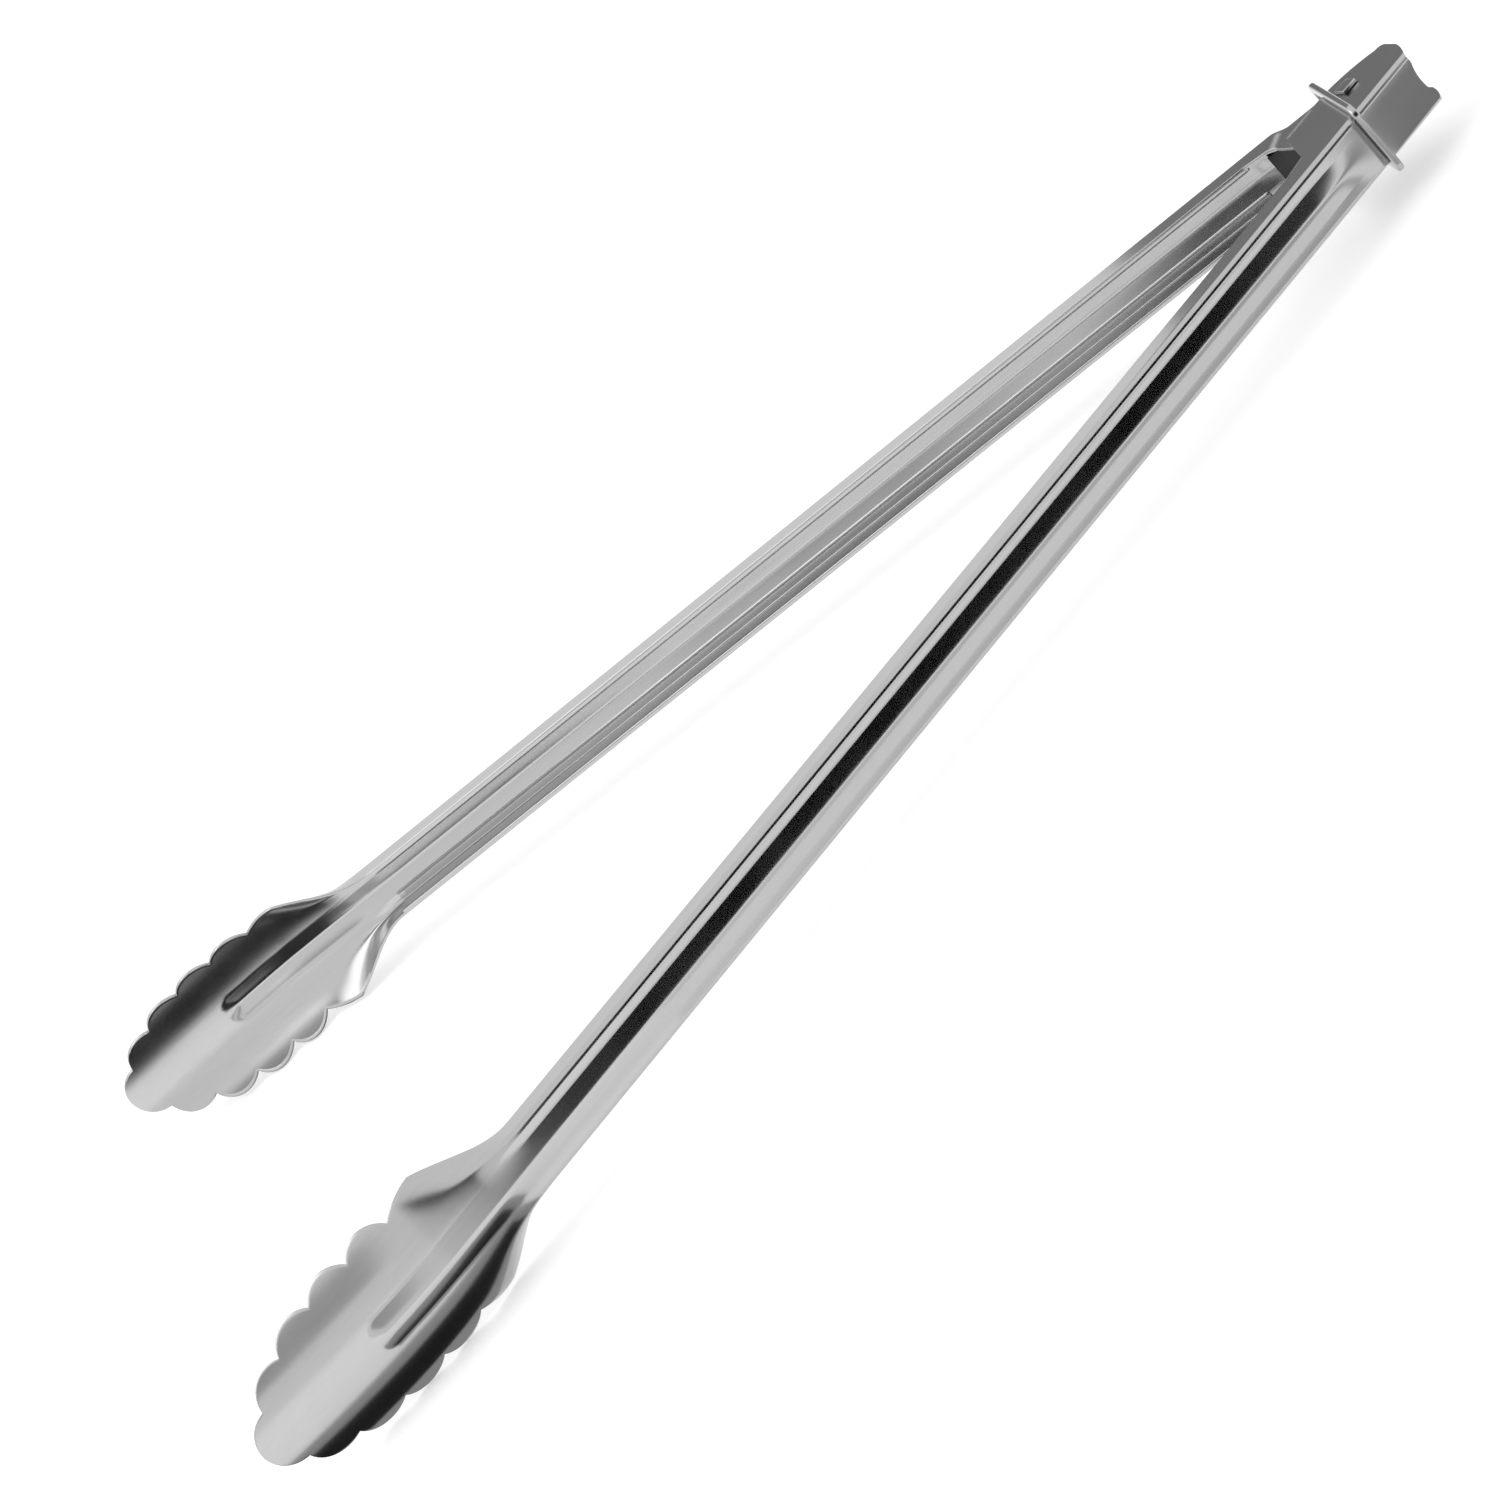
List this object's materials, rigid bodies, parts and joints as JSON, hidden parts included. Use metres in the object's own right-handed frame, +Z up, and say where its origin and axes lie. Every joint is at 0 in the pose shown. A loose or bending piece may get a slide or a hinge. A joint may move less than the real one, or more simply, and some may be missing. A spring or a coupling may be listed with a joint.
{
  "type": "kitchen tongs",
  "caption": "Long spring loaded kitchen tongs: hinged channel arms, scalloped spoon shaped jaws and a sliding lock ring at the head.",
  "frame": {"origin": "bottom centre of the bounding box, with the open tongs lying on their side", "axes": "+Z up, along the hinge axis; +X from the head to the jaws along the middle line between the open arms; +Y toward the outer arm"},
  "size_m": [0.3958, 0.2226, 0.0358],
  "materials": {
    "outer_arm_steel": "brushed along the arm",
    "inner_arm_steel": "brushed along the arm",
    "pin_steel": "satin",
    "spring_steel": "dark tempered",
    "ring_steel": "bright, fine brushed"
  },
  "bodies": {
    "outer": {"outer_arm": "outer_arm_steel", "pivot_pin": "pin_steel", "leaf_spring": "spring_steel"},
    "inner": {"inner_arm": "inner_arm_steel"},
    "ring": {"lock_ring": "ring_steel"}
  },
  "joints": [
    {"name": "arm_hinge", "type": "hinge", "parent": "outer", "child": "inner", "pos_m": [-0.18262, -0.00185, 0.01789], "axis": [0, 0, 1], "range_deg": [0, 31.5], "stiffness_Nm_per_rad": 3, "springref_deg": -11.46, "deforming": ["leaf_spring"]},
    {"name": "ring_slide", "type": "slide", "parent": "outer", "child": "ring", "axis": [0.9478, 0.319, 0], "range_m": [0, 0.0093]}
  ],
  "couplings": [
    {"joint": "ring_slide", "follows": "arm_hinge", "m_per_rad": 0.01673}
  ]
}
